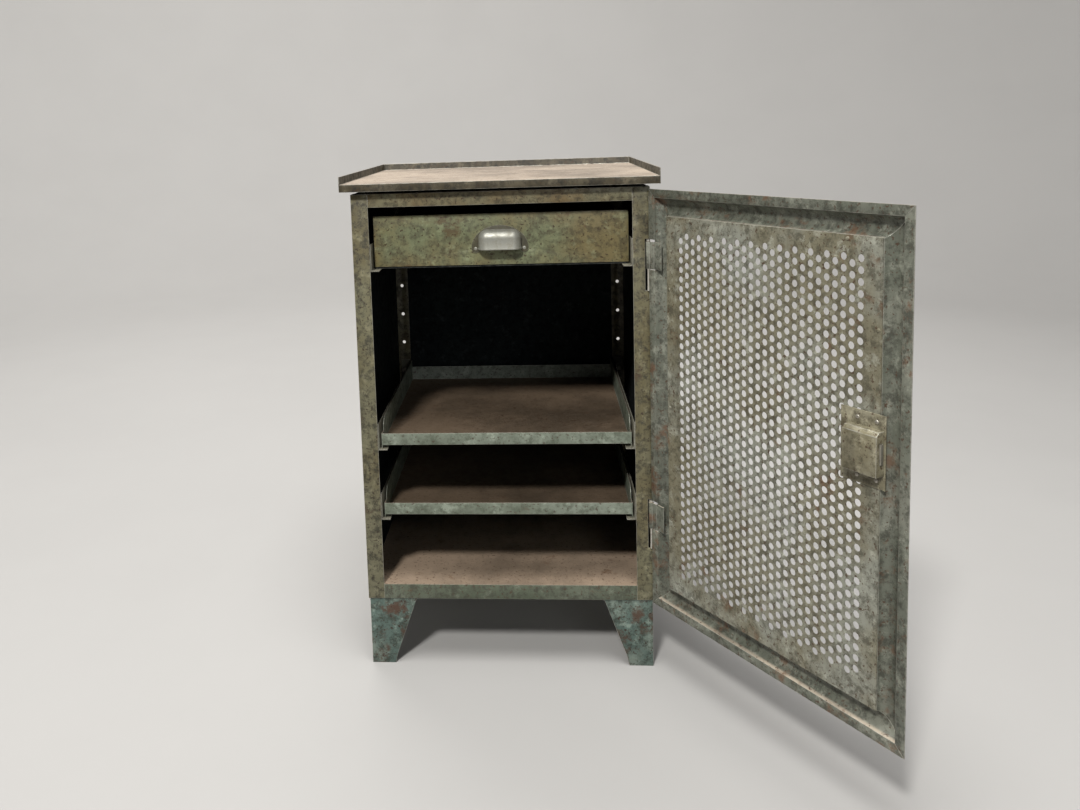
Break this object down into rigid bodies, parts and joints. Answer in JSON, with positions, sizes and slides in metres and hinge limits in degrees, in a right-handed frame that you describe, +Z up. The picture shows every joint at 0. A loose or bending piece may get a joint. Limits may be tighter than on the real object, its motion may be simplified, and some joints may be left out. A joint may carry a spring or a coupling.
{
  "type": "workshop cabinet",
  "caption": "Sheet-steel workshop cabinet with worktop tray, drawer, pull-out trays, tapered feet and a perforated lockable door.",
  "frame": {"origin": "centre of the cabinet footprint on the floor", "axes": "+X to the right seen from the front, +Y to the back, +Z up; the door stands open towards -Y"},
  "size_m": [0.7583, 0.8682, 0.8435],
  "materials": {
    "carcass_paint": "aged olive-brown paint, worn at edges",
    "foot_paint": "aged blue-green paint with rust",
    "worktop_steel": "worn, dusty",
    "shelf_paint": "aged green paint, dusty brown on top",
    "tray_paint": "aged green-grey paint, rusty floor",
    "drawer_paint": "aged olive paint",
    "pull_steel": "worn pressed steel",
    "fastener_steel": "dull",
    "runner_paint": "aged paint, bright worn edges",
    "door_paint": "aged green-grey paint with rust tints",
    "pin_steel": "bright worn",
    "lock_paint": "aged paint",
    "lock_steel": "dull",
    "core_brass": "tarnished"
  },
  "bodies": {
    "cabinet": {"back_panel": "carcass_paint", "back_panel_rivets": "fastener_steel", "bottom_pan": "shelf_paint", "front_left_foot": "foot_paint", "front_left_post": "carcass_paint", "front_right_foot": "foot_paint", "front_right_post": "carcass_paint", "front_top_rail": "carcass_paint", "left_drawer_runner": "runner_paint", "left_lower_tray_runner": "runner_paint", "left_side_panel": "carcass_paint", "left_top_rail": "carcass_paint", "left_upper_tray_runner": "runner_paint", "left_worktop_bearer": "carcass_paint", "lower_hinge_pin": "pin_steel", "rear_left_foot": "foot_paint", "rear_left_post": "carcass_paint", "rear_right_foot": "foot_paint", "rear_right_post": "carcass_paint", "rear_top_rail": "carcass_paint", "right_drawer_runner": "runner_paint", "right_lower_tray_runner": "runner_paint", "right_side_panel": "carcass_paint", "right_top_rail": "carcass_paint", "right_upper_tray_runner": "runner_paint", "right_worktop_bearer": "carcass_paint", "runner_nuts": "fastener_steel", "runner_screws": "fastener_steel", "upper_hinge_pin": "pin_steel", "worktop": "worktop_steel"},
    "drawer": {"drawer_face": "drawer_paint", "drawer_box": "drawer_paint", "cup_pull": "pull_steel", "pull_rivets": "fastener_steel"},
    "upper_tray": {"upper_tray_pan": "tray_paint"},
    "lower_tray": {"lower_tray_pan": "tray_paint"},
    "door": {"door_bottom_rail": "door_paint", "door_hinge_stile": "door_paint", "door_lock_stile": "door_paint", "door_top_rail": "door_paint", "lock_case": "lock_paint", "lock_escutcheon": "lock_steel", "lock_plate": "lock_paint", "lock_screws": "fastener_steel", "lower_hinge_leaf": "door_paint", "panel_rivets": "fastener_steel", "perforated_panel": "door_paint", "upper_hinge_leaf": "door_paint"},
    "lock_bolt": {"lock_bolt": "lock_steel"},
    "lock_core": {"lock_core": "core_brass"}
  },
  "joints": [
    {"name": "door_hinge", "type": "hinge", "parent": "cabinet", "child": "door", "pos_m": [0.2385, -0.229, 0.46], "axis": [0, 0, 1], "range_deg": [-123.5, 56.5]},
    {"name": "drawer_slide", "type": "slide", "parent": "cabinet", "child": "drawer", "axis": [0, -1, 0], "range_m": [0, 0.3]},
    {"name": "upper_tray_slide", "type": "slide", "parent": "cabinet", "child": "upper_tray", "axis": [0, -1, 0], "range_m": [0, 0.3]},
    {"name": "lower_tray_slide", "type": "slide", "parent": "cabinet", "child": "lower_tray", "axis": [0, -1, 0], "range_m": [0, 0.3]},
    {"name": "core_turn", "type": "hinge", "parent": "door", "child": "lock_core", "pos_m": [0.46519, -0.57603, 0.5005], "axis": [-0.8339, -0.5519, 0], "range_deg": [-90, 0]},
    {"name": "bolt_slide", "type": "slide", "parent": "door", "child": "lock_bolt", "axis": [0.5519, -0.8339, 0], "range_m": [0, 0.016]}
  ],
  "couplings": [
    {"joint": "core_turn", "follows": "bolt_slide", "rad_per_m": -98.17}
  ]
}
